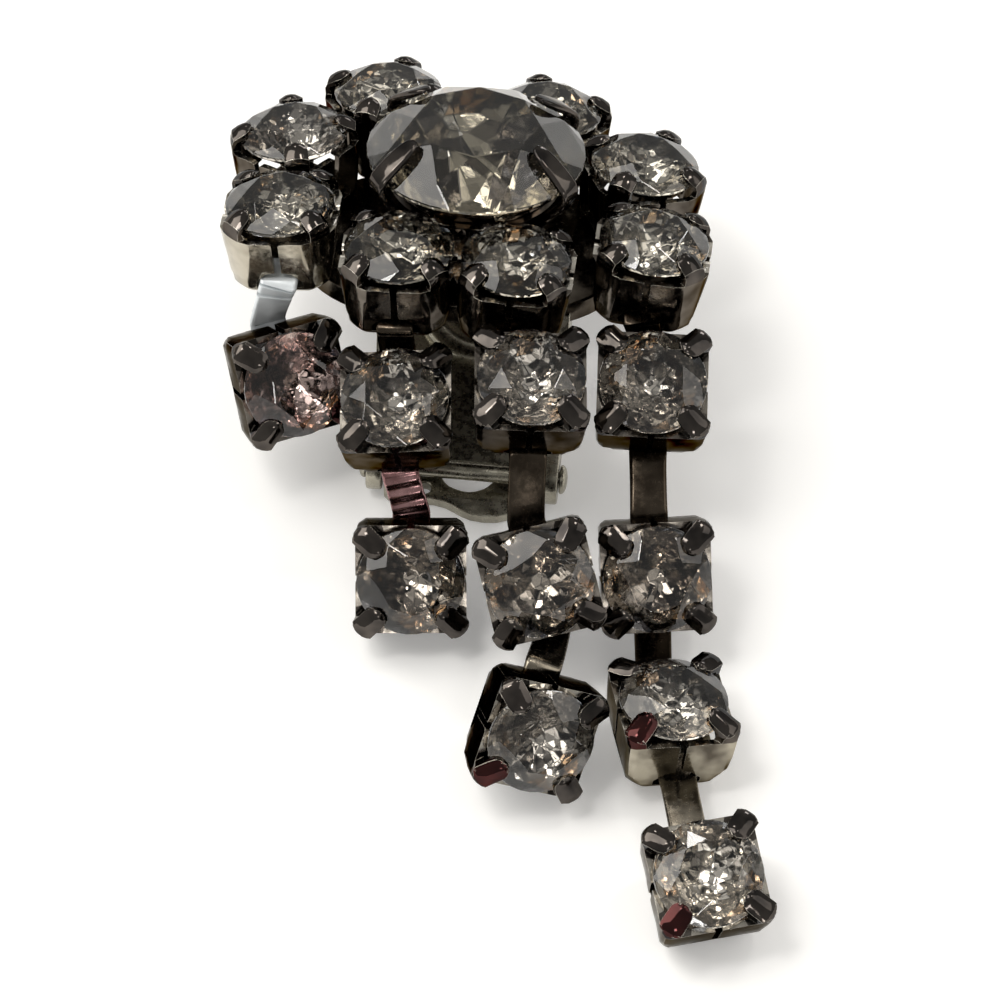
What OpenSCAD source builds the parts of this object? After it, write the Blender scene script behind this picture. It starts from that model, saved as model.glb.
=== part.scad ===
// Clip-on earring with a cluster of stones and a tassel of stones in cups, lying on its lever as on a table.
// Millimetres, Z up, the viewer looks along +Y. The origin is on the lever's flat outer face.

/* [Stones] */
// Diameter of the large centre stone
centre_d = 9.8; // [9:0.2:10.6]
// Height of the centre stone's crown above its girdle
centre_crown = 1.7; // [1.2:0.1:2.2]
// Diameter of the eight stones around it
ring_d = 4.9; // [4.6:0.1:5]
// Diameter of the stones of the tassel
strand_d = 4.8; // [4.5:0.1:4.9]
// Height of a small stone's crown
small_crown = 0.85; // [0.6:0.05:1.1]

/* [Cups] */
// Depth of a cup from its base up to the stone's girdle
cup_h = 3.4; // [3:0.1:3.8]
// Half width of a cup at its base
base_w = 2.0; // [1.8:0.1:2.2]
// Width of a cup's prongs
prong_w = 1.1; // [0.7:0.1:1.2]
// How far the tassel's prongs stand out past their stones
strand_out = 0.96; // [0.6:0.02:1.1]
// How far the ring's prongs stand out past their stones
ring_out = 0.46; // [0.4:0.02:0.6]
// Width of the window in each wall of a cup
window_w = 2.1; // [1.9:0.1:2.2]
// Height of that window
window_h = 0.95; // [0.7:0.05:1.2]
// Width of the slot from the window up to the rim
slot_w = 0.3; // [0.2:0.05:0.5]

/* [Cluster] */
// How far the cluster leans back from level
lean = 19; // [10:1:25]
// Outward tilt of each cup of the ring
ring_tilt = 6; // [0:1:10]
// Thickness of the back plate
plate_t = 1.0; // [0.7:0.1:1.2]
// Radius of the back plate's round ends
plate_r = 5.1; // [4.8:0.1:5.2]
// Width of the four claws of the centre stone
claw_w = 1.0; // [0.7:0.1:1.3]

/* [Links] */
// Width of a link's strip
link_w = 1.7; // [1.4:0.1:1.8]
// Thickness of a link's strip
link_t = 0.4; // [0.3:0.05:0.5]
// Width of the head that holds a link inside a cup
head_w = 2.5; // [2.3:0.1:2.6]

/* [Clip] */
// Width of the lever
lever_w = 7.8; // [6.5:0.1:8.5]
// Thickness of the lever's plate
lever_t = 0.6; // [0.5:0.05:0.7]
// Height of the hinge pin's centre above the surface
pin_z = 1.3; // [1.2:0.05:1.5]
// Radius of the hinge pin
pin_r = 0.4; // [0.35:0.05:0.5]

/* [Hidden] */
$fn = 48;
gap = 0.06;
// How far a cup's straight sides stand out past its stone at the rim
strand_side = 0.05;
ring_side = 0.15;
girdle_t = 0.15;
yaw = -6;
pin_y = -6;
cluster_x = -0.9;
cluster_y = 4;
cluster_z = 9.5;
// The hinge pin as the leaning cluster sees it
pin_v = (pin_y - cluster_y) * cos(lean) - (pin_z - cluster_z) * sin(lean);
pin_w = (pin_y - cluster_y) * sin(lean) + (pin_z - cluster_z) * cos(lean);
centre_r = centre_d / 2;
centre_u = 0.4;
centre_v = -0.3;
centre_lift = 1.8;
claw_angles = [-141, -32, 41, 139];
ear_in = 3.6;
ear_out = 4.3;
steel = [0.62, 0.61, 0.60];
dark = [0.50, 0.49, 0.48];
crystal = [0.80, 0.78, 0.76, 0.7];

// Ring cups in the cluster's own plane, from the front right one round to the front left one.
// Columns: across, away, turn about its own axis.
ring_at = [
    [2.8, -5.8, 0],
    [8.7, -3.5, 0],
    [7.8, 2.5, 25],
    [3.1, 6.2, 60],
    [-4.3, 6.7, 30],
    [-8.1, 2.7, 55],
    [-8, -3, 0],
    [-2.4, -5.6, 0]
];

// Cups of the tassel, strand by strand from the left, each from its top cup down.
// Columns: x, y, lift of the lowest corner, turn, tip towards the viewer, roll.
cup_at = [
    [-9.15, -2.1, 2.3, 18, 50, 5],
    [-3.3, -6.4, 4.7, 0, 10, -5],
    [-2.9, -10.9, 0.02, 0, 48, 0],
    [2.2, -7, 6.9, 0, 6, 3],
    [2.75, -12.9, 2.2, 18, 40, -12],
    [1.9, -19.1, 0.02, -27, 47, 36],
    [7.6, -5.3, 4.7, -2, 15, 3],
    [7.6, -11.5, 0.8, 3, 45, 3],
    [8.2, -20.4, 0.02, 11, -10, 8],
    [9.6, -27.6, 0.02, 12, 16, 2]
];

// Height of a cup's base centre that puts its lowest corner at the given lift.
// Each corner is given as across, away and up in the cup's own frame.
function low(tip, roll) = min([
    for (s = [-1, 1], t = [-1, 1], c = [
        [1.3, base_w - 0.2, 0],
        [base_w - 0.2, 1.3, 0],
        [1.55, base_w + 0.1, 0.3],
        [base_w + 0.1, 1.55, 0.3],
        [2.05, base_w + 0.35, 1.3],
        [base_w + 0.35, 2.05, 1.3],
        [2.15, 2.5, 3.3],
        [2.5, 2.15, 3.3]
    ])
        t * c[1] * sin(tip) + (c[2] * cos(roll) - s * c[0] * sin(roll)) * cos(tip)
]);

// Outline of a cup that is revolved: its rounded corners and the curve of the prongs over the stone.
// The prongs stand out past the stone's radius r by out.
function cup_outline(r, out) = [
    [0, 0],
    [base_w + 0.2, 0],
    [base_w + 0.6, 0.35],
    [r + out - 0.14, 1.4],
    [r + out - 0.02, cup_h - 0.5],
    [r + out, cup_h],
    [r + out - 0.07, cup_h + 0.25],
    [r + out * 0.5, cup_h + 0.48],
    [r, cup_h + 0.62],
    [r - 0.26, cup_h + 0.72],
    [r - 0.46, cup_h + 0.75],
    [r - 0.58, cup_h + 0.66],
    [r - 0.62, cup_h],
    [0, cup_h]
];

// Space that a stone takes in its setting, a gap larger than the stone on every side
function room_outline(r, crown, table, depth) = [
    [0, -depth],
    [0.3 * r, -depth],
    [r + gap, -gap],
    [r + gap, girdle_t + gap],
    [table * r + gap, crown + gap * 1.5],
    [0, crown + gap * 1.5]
];

module cluster() {
    rotate([0, 0, yaw])
        translate([cluster_x, cluster_y, cluster_z])
            rotate([-lean, 0, 0])
                children();
}

// A ring cup's frame, its origin at the middle of the cup's base
module ring_place(i) {
    p = ring_at[i];
    a = atan2(p[1], p[0]);
    cluster()
        translate([p[0], p[1], 0])
            rotate([0, 0, a])
                rotate([0, ring_tilt, 0])
                    rotate([0, 0, p[2] - a])
                        translate([0, 0, -cup_h])
                            children();
}

// A tassel cup's frame, its origin at the middle of the cup's base
module cup_place(i) {
    p = cup_at[i];
    translate([p[0], p[1], p[2] - low(p[4], p[5])])
        rotate([0, 0, p[3]])
            rotate([p[4], 0, 0])
                rotate([0, p[5], 0])
                    children();
}

// A round stone, its origin in the middle of its girdle's lower edge
module stone(r, crown, table, depth) {
    hull() {
        translate([0, 0, crown - 0.02])
            rotate([0, 0, 22.5])
                cylinder(h = 0.02, r = table * r, $fn = 8);
        cylinder(h = girdle_t, r = r, $fn = 16);
        translate([0, 0, -depth])
            cylinder(h = 0.02, r = 0.2 * r, $fn = 8);
    }
}

module room(r, crown, table, depth) {
    rotate_extrude()
        polygon(room_outline(r, crown, table, depth));
}

// Straight sides of a cup seen from one side, wider at the rim, with a bevel at the base.
// The half width at the rim is w.
module cup_sides(w) {
    rotate([90, 0, 0])
        linear_extrude(height = 12, center = true)
            polygon([
                [-base_w + 0.2, 0],
                [base_w - 0.2, 0],
                [base_w + 0.1, 0.3],
                [base_w + 0.35, 1.3],
                [w, cup_h - 0.4],
                [w + 0.45, cup_h + 2],
                [-w - 0.45, cup_h + 2],
                [-w, cup_h - 0.4],
                [-base_w - 0.35, 1.3],
                [-base_w - 0.1, 0.3]
            ]);
}

// Plan of four prongs with rounded tips
module prong_plan(tip_r, w, angles) {
    for (a = angles) {
        rotate([0, 0, a]) {
            translate([tip_r, 0])
                circle(d = w);
            translate([tip_r, -w / 2])
                square([6, w]);
        }
    }
}

// Window with an arched top, as an opening through both walls
module window() {
    half = window_w / 2;
    rotate([90, 0, 0])
        linear_extrude(height = 5.3, center = true)
            polygon([
                [-half, 0],
                [half, 0],
                [half, window_h * 0.45],
                [half * 0.85, window_h * 0.78],
                [half * 0.5, window_h],
                [-half * 0.5, window_h],
                [-half * 0.85, window_h * 0.78],
                [-half, window_h * 0.45]
            ]);
}

// Solid form of a cup with its four prongs
module cup_solid(r, out, side) {
    difference() {
        intersection() {
            rotate_extrude()
                polygon(cup_outline(r, out));
            cup_sides(r + side);
            rotate([0, 0, 90])
                cup_sides(r + side);
        }
        translate([0, 0, cup_h - 0.3])
            linear_extrude(height = 3)
                difference() {
                    square(14, center = true);
                    prong_plan(r, prong_w, [45, 135, 225, 315]);
                }
    }
}

// Everything that is open in a cup: its hollow, its stone's room, its windows and slots
module cup_open(r) {
    rotate_extrude()
        polygon([
            [0, 0.4],
            [base_w - 0.2, 0.4],
            [r - 0.2, cup_h - 0.2],
            [r - 0.2, cup_h + 0.1],
            [0, cup_h + 0.1]
        ]);
    translate([0, 0, cup_h])
        room(r, small_crown, 0.56, 1.6);
    for (a = [0, 90]) {
        rotate([0, 0, a]) {
            translate([0, 0, 0.4])
                window();
            translate([-slot_w / 2, -2.75, 0.6])
                cube([slot_w, 5.5, cup_h]);
        }
    }
}

module strand_cup(i) {
    color(steel)
        cup_place(i)
            difference() {
                cup_solid(strand_d / 2, strand_out, strand_side);
                cup_open(strand_d / 2);
            }
}

module strand_stone(i) {
    color(crystal)
        cup_place(i)
            translate([0, 0, cup_h])
                stone(strand_d / 2, small_crown, 0.56, 1.5);
}

module ring_stone(i) {
    color(crystal)
        ring_place(i)
            translate([0, 0, cup_h])
                stone(ring_d / 2, small_crown, 0.56, 1.5);
}

module centre_place() {
    cluster()
        translate([centre_u, centre_v, centre_lift])
            children();
}

module centre_stone() {
    color(crystal)
        centre_place()
            stone(centre_r, centre_crown, 0.57, 4.1);
}

// Back plate: a long round-ended plate under the ring cups
module back_plate() {
    cluster()
        translate([0, 0, -cup_h - 0.75])
            linear_extrude(height = plate_t)
                union() {
                    translate([-2.4, 0])
                        circle(r = plate_r);
                    translate([2.4, 0])
                        circle(r = plate_r);
                    square([4.8, 2 * plate_r], center = true);
                }
}

// Seat of the centre stone: a cone on a short tube, with four claws over the stone
module centre_setting() {
    r = centre_r;
    c = centre_crown;
    centre_place() {
        rotate_extrude()
            polygon([
                [1.9, -5.4],
                [2.7, -5.4],
                [2.8, -3.6],
                [3.9, -1.5],
                [3.6, -1.2],
                [2.4, -2.6],
                [1.9, -3.4]
            ]);
        intersection() {
            rotate_extrude()
                polygon([
                    [2.4, -3.8],
                    [3.0, -3.8],
                    [r + 0.45, -0.5],
                    [r + 0.56, 0.1],
                    [r + 0.42, 0.55],
                    [r - 0.3, c * 0.65],
                    [r - 1.1, c * 0.98],
                    [r - 1.5, c * 1.15],
                    [r - 1.75, c * 1.16],
                    [r - 1.85, c * 0.95],
                    [r - 1.0, 0],
                    [3.4, -1.6]
                ]);
            translate([0, 0, -6])
                linear_extrude(height = 10)
                    prong_plan(r - 1.35, claw_w, claw_angles);
        }
    }
}

// The two ears that carry the hinge pin, in the leaning cluster's frame
module ears() {
    cluster()
        translate([-cluster_x, 0, 0])
            for (s = [-1, 1])
                rotate([90, 0, 90])
                    translate([0, 0, s * (ear_in + ear_out) / 2 - (ear_out - ear_in) / 2])
                        linear_extrude(height = ear_out - ear_in)
                            union() {
                                translate([pin_v, pin_w])
                                    circle(r = 1.15);
                                polygon([
                                    [-4.6, -3.6],
                                    [-4.6, -7.0],
                                    [-4.9, -8.0],
                                    [pin_v - 0.75, pin_w + 0.87],
                                    [pin_v + 1.0, pin_w - 0.5],
                                    [-3.0, -7.6],
                                    [-2.0, -3.6]
                                ]);
                            }
}

module pin_hole(r) {
    rotate([0, 0, yaw])
        translate([-8, pin_y, pin_z])
            rotate([0, 90, 0])
                cylinder(h = 16, r = r);
}

module cluster_frame() {
    color(dark)
        difference() {
            union() {
                for (i = [0 : 7])
                    ring_place(i)
                        cup_solid(ring_d / 2, ring_out, ring_side);
                back_plate();
                centre_setting();
                ears();
            }
            for (i = [0 : 7])
                ring_place(i)
                    cup_open(ring_d / 2);
            centre_place()
                room(centre_r, centre_crown, 0.57, 4.2);
            pin_hole(pin_r + 0.03);
        }
}

// Link from the front window of one cup to the back window of the next
module bar(y0, y1, w, t = link_t) {
    translate([-w / 2, min(y0, y1), 0.85 - t / 2])
        cube([w, abs(y1 - y0), t]);
}

module link_front_end() {
    bar(-0.75, -1.15, head_w);
    bar(-0.8, -2.5, link_w);
}

module link_back_end() {
    bar(0.75, 1.15, head_w);
    bar(0.8, 2.5, link_w);
}

module link_between(i, j) {
    color(steel) {
        cup_place(i)
            link_front_end();
        cup_place(j)
            link_back_end();
        hull() {
            cup_place(i)
                bar(-2.36, -2.46, link_w - 0.08, link_t - 0.05);
            cup_place(j)
                bar(2.36, 2.46, link_w - 0.08, link_t - 0.05);
        }
    }
}

module link_from_ring(i, j) {
    color(steel) {
        ring_place(i)
            link_front_end();
        cup_place(j)
            link_back_end();
        hull() {
            ring_place(i)
                bar(-2.36, -2.46, link_w - 0.08, link_t - 0.05);
            cup_place(j)
                bar(2.36, 2.46, link_w - 0.08, link_t - 0.05);
        }
    }
}

// Lever: a flat plate with a round grip end and two low flanges that hold the pin
module clip_lever() {
    f = lever_w / 2;
    color(steel)
        difference() {
            rotate([0, 0, yaw])
                union() {
                    difference() {
                        linear_extrude(height = lever_t)
                            union() {
                                translate([0, 3.3])
                                    circle(r = 3.5);
                                polygon([
                                    [-3.3, -7.1],
                                    [-1.2, -7.15],
                                    [-0.3, -7.45],
                                    [0.5, -7.8],
                                    [1.7, -7.8],
                                    [2.5, -7.4],
                                    [3.3, -7.1],
                                    [3.5, -6.9],
                                    [3.5, -4.2],
                                    [f, -3.4],
                                    [f, 0.5],
                                    [3.4, 3.8],
                                    [-3.4, 3.8],
                                    [-f, 0.5],
                                    [-f, -3.4],
                                    [-3.5, -4.2],
                                    [-3.5, -6.9]
                                ]);
                            }
                        translate([0, 0, -1])
                            linear_extrude(height = 3)
                                polygon([
                                    [-1.0, -5.0],
                                    [-1.0, -5.8],
                                    [-0.8, -6.2],
                                    [-0.3, -6.5],
                                    [0.3, -6.6],
                                    [0.9, -6.4],
                                    [1.3, -6.0],
                                    [1.4, -5.6],
                                    [1.4, -5.0]
                                ]);
                        translate([-1.7, -6.6, -1])
                            cylinder(h = 3, r = 0.3);
                    }
                    translate([0, 3.3, lever_t - 0.05])
                        cylinder(h = 0.6, r1 = 3.1, r2 = 2.9);
                    for (s = [-1, 1])
                        rotate([90, 0, 90])
                            translate([0, 0, s * 3.2 - 0.3])
                                linear_extrude(height = 0.6)
                                    union() {
                                        translate([pin_y, pin_z])
                                            circle(r = 1.0);
                                        polygon([
                                            [pin_y - 1.0, 0.1],
                                            [pin_y - 1.0, pin_z],
                                            [pin_y, pin_z + 1.0],
                                            [pin_y + 0.6, pin_z + 0.8],
                                            [-3.9, 0.55],
                                            [-3.9, 0.1]
                                        ]);
                                    }
                }
            pin_hole(pin_r + 0.05);
        }
}

// Hinge pin with a low round head at each end
module hinge_pin() {
    color(dark)
        rotate([0, 0, yaw])
            translate([0, pin_y, pin_z])
                rotate([0, 90, 0]) {
                    translate([0, 0, -ear_out - 0.1])
                        cylinder(h = 2 * ear_out + 0.2, r = pin_r);
                    translate([0, 0, ear_out + 0.05])
                        cylinder(h = 0.35, r1 = 0.65, r2 = 0.5);
                    translate([0, 0, -ear_out - 0.4])
                        cylinder(h = 0.35, r1 = 0.5, r2 = 0.65);
                }
}

cluster_frame();
centre_stone();
ring_stone(0);  // ring_stone_1
ring_stone(1);  // ring_stone_2
ring_stone(2);  // ring_stone_3
ring_stone(3);  // ring_stone_4
ring_stone(4);  // ring_stone_5
ring_stone(5);  // ring_stone_6
ring_stone(6);  // ring_stone_7
ring_stone(7);  // ring_stone_8
strand_cup(0);  // cup_1a
strand_cup(1);  // cup_2a
strand_cup(2);  // cup_2b
strand_cup(3);  // cup_3a
strand_cup(4);  // cup_3b
strand_cup(5);  // cup_3c
strand_cup(6);  // cup_4a
strand_cup(7);  // cup_4b
strand_cup(8);  // cup_4c
strand_cup(9);  // cup_4d
strand_stone(0);  // stone_1a
strand_stone(1);  // stone_2a
strand_stone(2);  // stone_2b
strand_stone(3);  // stone_3a
strand_stone(4);  // stone_3b
strand_stone(5);  // stone_3c
strand_stone(6);  // stone_4a
strand_stone(7);  // stone_4b
strand_stone(8);  // stone_4c
strand_stone(9);  // stone_4d
link_from_ring(6, 0);  // link_1a
link_from_ring(7, 1);  // link_2a
link_between(1, 2);  // link_2b
link_from_ring(0, 3);  // link_3a
link_between(3, 4);  // link_3b
link_between(4, 5);  // link_3c
link_from_ring(1, 6);  // link_4a
link_between(6, 7);  // link_4b
link_between(7, 8);  // link_4c
link_between(8, 9);  // link_4d
clip_lever();
hinge_pin();
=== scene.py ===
import math
import random

import bmesh
import bpy
from mathutils import Matrix, Vector


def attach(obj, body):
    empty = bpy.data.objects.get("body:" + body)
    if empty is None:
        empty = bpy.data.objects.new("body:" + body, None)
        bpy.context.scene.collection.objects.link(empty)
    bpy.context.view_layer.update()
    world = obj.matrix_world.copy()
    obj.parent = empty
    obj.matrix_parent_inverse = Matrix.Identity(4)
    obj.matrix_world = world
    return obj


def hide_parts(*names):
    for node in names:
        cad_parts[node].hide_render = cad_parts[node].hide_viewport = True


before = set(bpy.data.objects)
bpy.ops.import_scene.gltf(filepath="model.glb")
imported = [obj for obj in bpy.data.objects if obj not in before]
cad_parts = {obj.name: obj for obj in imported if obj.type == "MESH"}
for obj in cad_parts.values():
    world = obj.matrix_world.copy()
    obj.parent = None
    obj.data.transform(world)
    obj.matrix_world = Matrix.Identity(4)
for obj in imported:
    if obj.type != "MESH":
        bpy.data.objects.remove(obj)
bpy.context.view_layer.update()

MM = 0.001
rng = random.Random(7)

# Sizes in millimetres, the same values as in the part's source
CUP_H = 3.4
BASE_W = 2.0
WINDOW_W = 2.1
WINDOW_H = 0.95
SLOT_W = 0.3
PRONG_W = 1.1
GIRDLE_T = 0.15
SMALL_CROWN = 0.85
RING_R = 2.45
RING_OUT = 0.46
RING_SIDE = 0.15
RING_TILT = 6
STRAND_R = 2.4
STRAND_OUT = 0.96
STRAND_SIDE = 0.05
CENTRE_R = 4.9
CENTRE_CROWN = 1.7
CENTRE_AT = (0.4, -0.3, 1.8)
CLAW_ANGLES = (-141, -32, 41, 139)
PLATE_T = 1.0
PLATE_R = 5.1
PIN_Y = -6.0
PIN_Z = 1.3
PIN_R = 0.4
EAR_IN = 3.6
EAR_OUT = 4.3
LEVER_W = 7.8
LEVER_T = 0.6
GRIP_Y = 3.3
FLANGE_X = 3.2
YAW = -6.0
LEAN = 19.0
CLUSTER_AT = (-0.9, 4.0, 9.5)

# Depth of a stone below its girdle, and radius of its table as a share of the stone's
SMALL_DEPTH = 1.5
SMALL_TABLE = 0.56
CENTRE_DEPTH = 4.1
CENTRE_TABLE = 0.57

# Cups: thickness of the walls, height of the floor inside and of the rim, and how far prongs are bent
WALL_T = 0.3
FLOOR_Z = 0.4
RIM_Z = CUP_H - 0.3
DENT = 0.05

# Height, half width and half length of the flat side on the outside of a strand cup
CUP_STEPS = [(0, BASE_W - 0.2, 1.3), (0.3, BASE_W + 0.1, 1.55), (1.3, BASE_W + 0.35, 2.05), (3.3, 2.5, 2.15)]

# Links, slightly slimmer than in the source: their height above a cup's base, and where outside it they bend
LINK_W = 1.68
LINK_T = 0.37
HEAD_W = 2.48
LINK_Z = 0.85
LINK_BEND = 2.42
LINK_RIDGES = 4
RIDGE_H = 0.05
RIDGED_LINK = "2b"

# Ring cups: across, away, turn about the cup's own axis
RING_AT = [
    (2.8, -5.8, 0), (8.7, -3.5, 0), (7.8, 2.5, 25), (3.1, 6.2, 60),
    (-4.3, 6.7, 30), (-8.1, 2.7, 55), (-8, -3, 0), (-2.4, -5.6, 0),
]

# Tassel cups: x, y, lift of the lowest corner, turn, tip, roll
CUP_AT = {
    "1a": (-9.15, -2.1, 2.3, 18, 50, 5),
    "2a": (-3.3, -6.4, 4.7, 0, 10, -5),
    "2b": (-2.9, -10.9, 0.02, 0, 48, 0),
    "3a": (2.2, -7.0, 6.9, 0, 6, 3),
    "3b": (2.75, -12.9, 2.2, 18, 40, -12),
    "3c": (1.9, -19.1, 0.02, -27, 47, 36),
    "4a": (7.6, -5.3, 4.7, -2, 15, 3),
    "4b": (7.6, -11.5, 0.8, 3, 45, 3),
    "4c": (8.2, -20.4, 0.02, 11, -10, 8),
    "4d": (9.6, -27.6, 0.02, 12, 16, 2),
}

# Links: name, the cup above or the number of its ring place, the cup below
LINKS = [
    ("1a", 6, "1a"), ("2a", 7, "2a"), ("2b", "2a", "2b"), ("3a", 0, "3a"), ("3b", "3a", "3b"),
    ("3c", "3b", "3c"), ("4a", 1, "4a"), ("4b", "4a", "4b"), ("4c", "4b", "4c"), ("4d", "4c", "4d"),
]

# Metals: bright patches, dull patches, colour of the painted shade and tarnishing, least and greatest
# roughness, strength of the painted shade in the recesses
METALS = {
    "cluster": ((0.18, 0.16, 0.138), (0.07, 0.06, 0.05), (0.012, 0.009, 0.007), 0.08, 0.24, 0.6),
    # A paler copy of the cluster metal: painted light on the ring cup that catches it
    "cluster_lit": ((0.50, 0.46, 0.38), (0.30, 0.27, 0.21), (0.04, 0.03, 0.02), 0.12, 0.3, 0.6),
    # Darker than the cluster metal: painted shade on the plate under and between the ring cups
    "plate": ((0.12, 0.105, 0.085), (0.05, 0.042, 0.034), (0.012, 0.009, 0.007), 0.12, 0.3, 0.3),
    "cup": ((0.20, 0.18, 0.16), (0.08, 0.07, 0.06), (0.012, 0.009, 0.007), 0.08, 0.24, 0.6),
    "prong": ((0.085, 0.072, 0.062), (0.016, 0.013, 0.0115), (0.005, 0.004, 0.0035), 0.05, 0.16, 0.6),
    "prong_red": ((0.055, 0.014, 0.013), (0.020, 0.006, 0.006), (0.008, 0.004, 0.004), 0.05, 0.15, 0.6),
    # Painted highlights: a bright copy of the metal for rims and bevelled edges, and a dimmer one below it
    "edge": ((0.72, 0.68, 0.60), (0.42, 0.39, 0.34), (0.08, 0.065, 0.05), 0.14, 0.32, 0.45),
    "rim_highlight_dim": ((0.34, 0.31, 0.27), (0.13, 0.115, 0.10), (0.04, 0.032, 0.025), 0.14, 0.32, 0.45),
    # A paler copy of the metal for the clip: painted light where it lies in the cluster's shade
    "clip": ((0.46, 0.435, 0.36), (0.30, 0.28, 0.225), (0.10, 0.088, 0.068), 0.22, 0.42, 0.3),
    "link_dark": ((0.075, 0.060, 0.045), (0.034, 0.026, 0.019), (0.012, 0.009, 0.007), 0.16, 0.36, 0.6),
    # A pale, bluish copy of the link metal: painted light on a link that catches it
    "link_lit": ((0.84, 0.88, 0.90), (0.62, 0.66, 0.69), (0.3, 0.31, 0.32), 0.36, 0.5, 0.15),
    # A darker copy of the cup metal: painted shade for cup walls that mirror dark surroundings
    "cup_shaded": ((0.055, 0.048, 0.042), (0.022, 0.019, 0.016), (0.010, 0.008, 0.006), 0.08, 0.24, 0.6),
    # A paler copy of the cup metal: painted light for cup walls that mirror the pale floor
    "cup_pale": ((0.42, 0.385, 0.31), (0.12, 0.105, 0.085), (0.015, 0.012, 0.009), 0.1, 0.26, 0.6),
    # A paler, warm copy of the link metal: painted light on links that catch it
    "link_lit_warm": ((0.36, 0.32, 0.255), (0.10, 0.085, 0.065), (0.02, 0.016, 0.012), 0.16, 0.36, 0.35),
    "link_rose": ((0.46, 0.27, 0.27), (0.17, 0.08, 0.08), (0.03, 0.014, 0.014), 0.18, 0.38, 0.6),
}
# Metals kept dark at a glancing angle, a painted shade
SHADED_AT_GLANCE_METALS = ("cluster", "plate", "cup", "cup_shaded", "cup_pale", "prong", "prong_red", "link_dark")
COATS = {"prong": 0.4, "prong_red": 0.2}

# Stones: tint of the glass, light and dark foil, scale of the foil's cells, how far they lean
STONES = {
    "centre": ((0.95, 0.93, 0.88), (0.40, 0.37, 0.30), (0.10, 0.088, 0.07), 520, 0.16),
    "ring": ((0.96, 0.95, 0.92), (0.56, 0.53, 0.47), (0.075, 0.066, 0.055), 1300, 0.4),
    "grey": ((0.96, 0.95, 0.93), (0.64, 0.605, 0.555), (0.09, 0.08, 0.07), 1300, 0.4),
    "brown": ((0.95, 0.93, 0.90), (0.58, 0.53, 0.47), (0.08, 0.068, 0.057), 1300, 0.4),
    "pale": ((0.97, 0.96, 0.94), (0.62, 0.59, 0.54), (0.11, 0.10, 0.087), 1300, 0.4),
    "white": ((0.97, 0.96, 0.94), (0.92, 0.88, 0.81), (0.24, 0.215, 0.185), 1300, 0.4),
    "violet": ((0.96, 0.93, 0.92), (0.78, 0.63, 0.59), (0.16, 0.12, 0.112), 1300, 0.35),
}
CENTRE_DARK_FOIL = ((0.13, 0.118, 0.105), (0.035, 0.031, 0.028), 520, 0.12)

# What differs from cup to cup. A cup's prongs are numbered from the back right one, counterclockwise.
# The ring cup painted as lit, with the paler copy of the cluster metal
LIT_RING_CUP = 6
GREY_RING_STONE = 5
# Cups 1a, 2b, 3b and 3c take a darker copy of the cup metal as painted shade, and 4c a paler one as painted
# light
CUP_METALS = {"1a": "cup_shaded", "2b": "cup_shaded", "3b": "cup_shaded", "3c": "cup_shaded", "4c": "cup_pale"}
# Cups whose rims take the brighter of the two painted rim highlights
RIM_HIGHLIGHT_CUPS = ("3c", "4c", "4d")
RED_PRONGS = {"1a": (3,), "3c": (2,), "4c": (2,), "4d": (2,)}
STONE_LOOKS = {"1a": "violet", "2b": "brown", "3b": "brown", "4b": "brown", "4c": "pale", "4d": "white"}
# Links with paler copies of the link metal are painted light
LINK_METALS = {"1a": "link_lit", "2b": "link_rose", "3c": "link_lit_warm", "4d": "link_lit_warm"}


# Places
def rot(axis, degrees):
    return Matrix.Rotation(math.radians(degrees), 4, axis)


def move(x, y, z):
    return Matrix.Translation((x * MM, y * MM, z * MM))


CLIP = rot("Z", YAW)
CLUSTER = CLIP @ move(*CLUSTER_AT) @ rot("X", -LEAN)
CENTRE = CLUSTER @ move(*CENTRE_AT)


def ring_frame(i):
    """Frame of a ring cup, its origin at the middle of the cup's base."""
    across, away, turn = RING_AT[i]
    outwards = math.degrees(math.atan2(away, across))
    tilted = CLUSTER @ move(across, away, 0) @ rot("Z", outwards) @ rot("Y", RING_TILT)
    return tilted @ rot("Z", turn - outwards) @ move(0, 0, -CUP_H)


def lowest(tip, roll):
    """Height of a tipped cup's lowest corner, seen from the middle of its base."""
    t, r = math.radians(tip), math.radians(roll)
    corners = [(x, y, z) for z, half, flat in CUP_STEPS for x, y in ((flat, half), (half, flat))]
    return min(
        sy * y * math.sin(t) + (z * math.cos(r) - sx * x * math.sin(r)) * math.cos(t)
        for sx in (-1, 1) for sy in (-1, 1) for x, y, z in corners
    )


def cup_frame(key):
    """Frame of a tassel cup, its origin at the middle of the cup's base."""
    x, y, lift, turn, tip, roll = CUP_AT[key]
    return move(x, y, lift - lowest(tip, roll)) @ rot("Z", turn) @ rot("X", tip) @ rot("Y", roll)


# Materials
def new_material(name):
    """A new material, its node tree and its principled shader."""
    material = bpy.data.materials.new(name)
    material.use_nodes = True
    tree = material.node_tree
    tree.nodes.clear()
    output = tree.nodes.new("ShaderNodeOutputMaterial")
    shader = tree.nodes.new("ShaderNodeBsdfPrincipled")
    tree.links.new(shader.outputs[0], output.inputs[0])
    return material, tree, shader


def fill(tree, node, inputs):
    """Links each input that is given as another node's output, and sets the others to their values."""
    for key, value in inputs.items():
        if isinstance(value, bpy.types.NodeSocket):
            tree.links.new(value, node.inputs[key])
        else:
            node.inputs[key].default_value = value


def object_coords(tree):
    return tree.nodes.new("ShaderNodeTexCoord").outputs["Object"]


def noise(tree, coords, scale, detail):
    node = tree.nodes.new("ShaderNodeTexNoise")
    fill(tree, node, {"Vector": coords, "Scale": scale, "Detail": detail, "Roughness": 0.6})
    return node.outputs["Fac"]


def cells(tree, coords, scale, feature="F1"):
    node = tree.nodes.new("ShaderNodeTexVoronoi")
    node.feature = feature
    fill(tree, node, {"Vector": coords, "Scale": scale})
    return node.outputs


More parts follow.
